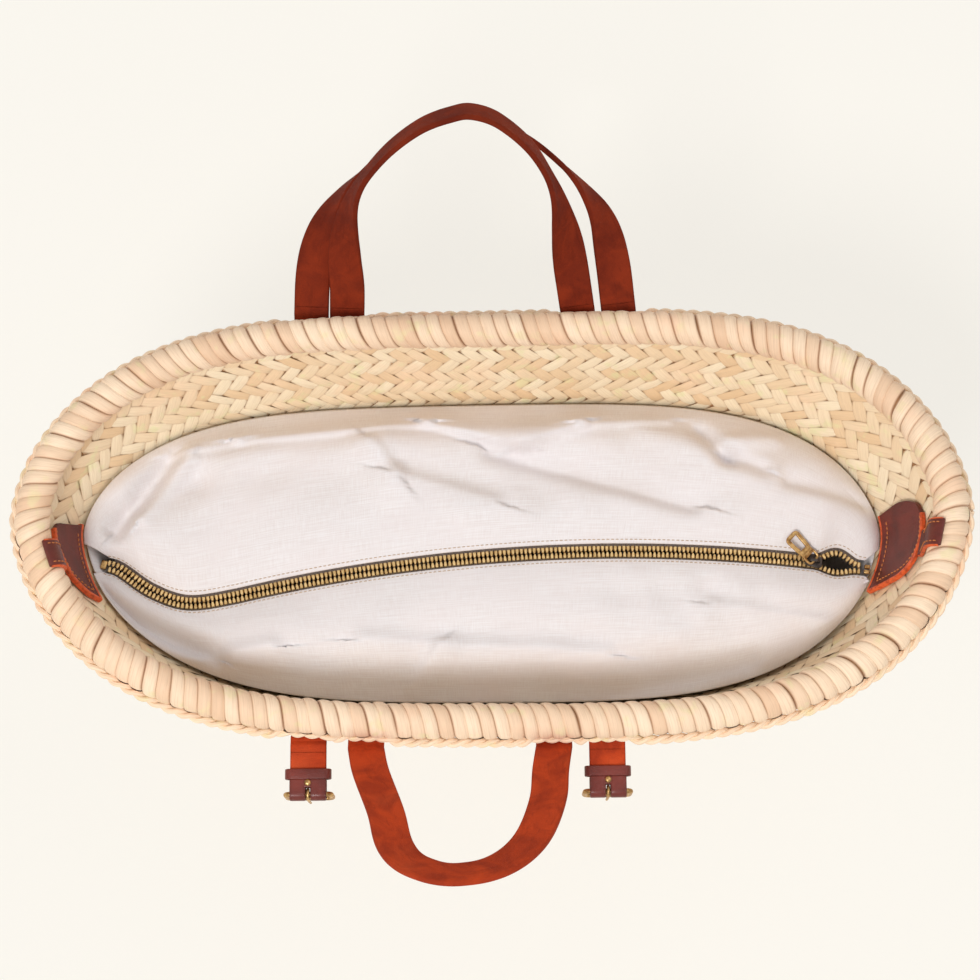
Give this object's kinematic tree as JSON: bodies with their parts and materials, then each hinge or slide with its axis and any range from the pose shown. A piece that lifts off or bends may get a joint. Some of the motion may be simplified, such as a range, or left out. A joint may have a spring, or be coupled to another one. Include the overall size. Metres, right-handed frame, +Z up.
{
  "type": "pack basket",
  "caption": "Flared palm-leaf basket with a rolled rim, zipped cotton lining, leather carrying loops and short buckle straps for shoulder straps.",
  "frame": {"origin": "middle of the flat base, on the surface it stands on", "axes": "+X along the mouth's length, +Y toward the back handle and the longer strap, +Z up out of the mouth"},
  "size_m": [0.5006, 0.4234, 0.3462],
  "materials": {
    "palm_plait": "plaited dry palm leaf",
    "palm_rim": "overcast palm-leaf roll",
    "cotton": "plain cotton canvas",
    "zip_tape": "woven tape",
    "brass": "aged satin brass",
    "dark_leather": "waxed leather",
    "red_leather": "glossy tanned leather"
  },
  "bodies": {
    "basket": {"basket_body": "palm_plait", "buckle_strap_end_left": "red_leather", "buckle_strap_end_left_rivet": "brass", "buckle_strap_end_right": "red_leather", "buckle_strap_end_right_rivet": "brass", "carry_strap_end_left": "red_leather", "carry_strap_end_left_rivet": "brass", "carry_strap_end_right": "red_leather", "carry_strap_end_right_rivet": "brass", "handle_back_end_left": "red_leather", "handle_back_end_left_rivet": "brass", "handle_back_end_right": "red_leather", "handle_back_end_right_rivet": "brass", "handle_front_end_left": "red_leather", "handle_front_end_left_rivet": "brass", "handle_front_end_right": "red_leather", "handle_front_end_right_rivet": "brass", "lining_bag": "cotton", "lining_panel_back": "cotton", "lining_panel_front": "cotton", "rim_roll": "palm_rim", "tab_anchor_left": "dark_leather", "tab_anchor_right": "dark_leather", "zip_bottom_stop": "brass", "zip_end_tab_left": "dark_leather", "zip_end_tab_right": "dark_leather", "zip_tape_back": "zip_tape", "zip_tape_front": "zip_tape", "zip_teeth_back": "brass", "zip_teeth_front": "brass", "zip_top_stop_back": "brass", "zip_top_stop_front": "brass"},
    "handle_back": {"handle_back": "red_leather"},
    "carry_strap": {"carry_strap": "red_leather"},
    "handle_front": {"handle_front": "red_leather"},
    "zip_slider": {"zip_slider": "brass"},
    "zip_pull_tab": {"zip_pull_tab": "brass"},
    "buckle_strap_left": {"buckle_strap_left": "red_leather", "buckle_chape_left": "dark_leather", "buckle_rivet_left": "brass"},
    "buckle_keeper_left": {"buckle_keeper_left": "dark_leather"},
    "buckle_frame_left": {"buckle_frame_left": "brass"},
    "buckle_prong_left": {"buckle_prong_left": "brass"},
    "buckle_strap_right": {"buckle_strap_right": "red_leather", "buckle_chape_right": "dark_leather", "buckle_rivet_right": "brass"},
    "buckle_keeper_right": {"buckle_keeper_right": "dark_leather"},
    "buckle_frame_right": {"buckle_frame_right": "brass"},
    "buckle_prong_right": {"buckle_prong_right": "brass"}
  },
  "joints": [
    {"name": "handle_back_swing", "type": "hinge", "parent": "basket", "child": "handle_back", "pos_m": [0, 0.12, 0.256], "axis": [1, 0, 0], "range_deg": [0, 57]},
    {"name": "carry_strap_swing", "type": "hinge", "parent": "basket", "child": "carry_strap", "pos_m": [0, 0.12, 0.256], "axis": [1, 0, 0], "range_deg": [-80, 0]},
    {"name": "handle_front_swing", "type": "hinge", "parent": "basket", "child": "handle_front", "pos_m": [0, -0.12, 0.256], "axis": [1, 0, 0], "range_deg": [-54, 104]},
    {"name": "zip_slide", "type": "hinge", "parent": "basket", "child": "zip_slider", "pos_m": [0.062, -0.9023, 0.22], "axis": [0, 0, 1], "range_deg": [-1.28, 19.58]},
    {"name": "pull_tab_swing", "type": "hinge", "parent": "zip_slider", "child": "zip_pull_tab", "pos_m": [0.17613, -0.01461, 0.2255], "axis": [0.6987, 0.7154, 0], "range_deg": [0, 105]},
    {"name": "buckle_strap_swing_left", "type": "hinge", "parent": "basket", "child": "buckle_strap_left", "pos_m": [-0.0976, -0.1175, 0.2515], "axis": [1, 0, 0], "range_deg": [-72, 58]},
    {"name": "keeper_slide_left", "type": "slide", "parent": "buckle_strap_left", "child": "buckle_keeper_left", "axis": [0, -0.9994, -0.0349], "range_m": [-0.008, 0]},
    {"name": "buckle_frame_swing_left", "type": "hinge", "parent": "buckle_strap_left", "child": "buckle_frame_left", "pos_m": [-0.0976, -0.14298, 0.25061], "axis": [1, 0, 0], "range_deg": [-130, 45]},
    {"name": "prong_swing_left", "type": "hinge", "parent": "buckle_frame_left", "child": "buckle_prong_left", "pos_m": [-0.0976, -0.14298, 0.25061], "axis": [1, 0, 0], "range_deg": [-55, 0]},
    {"name": "buckle_strap_swing_right", "type": "hinge", "parent": "basket", "child": "buckle_strap_right", "pos_m": [0.0591, -0.1175, 0.2515], "axis": [1, 0, 0], "range_deg": [-72, 58]},
    {"name": "keeper_slide_right", "type": "slide", "parent": "buckle_strap_right", "child": "buckle_keeper_right", "axis": [0, -0.9994, -0.0349], "range_m": [-0.008, 0]},
    {"name": "buckle_frame_swing_right", "type": "hinge", "parent": "buckle_strap_right", "child": "buckle_frame_right", "pos_m": [0.0591, -0.14298, 0.25061], "axis": [1, 0, 0], "range_deg": [-130, 45]},
    {"name": "prong_swing_right", "type": "hinge", "parent": "buckle_frame_right", "child": "buckle_prong_right", "pos_m": [0.0591, -0.14298, 0.25061], "axis": [1, 0, 0], "range_deg": [-55, 0]}
  ]
}
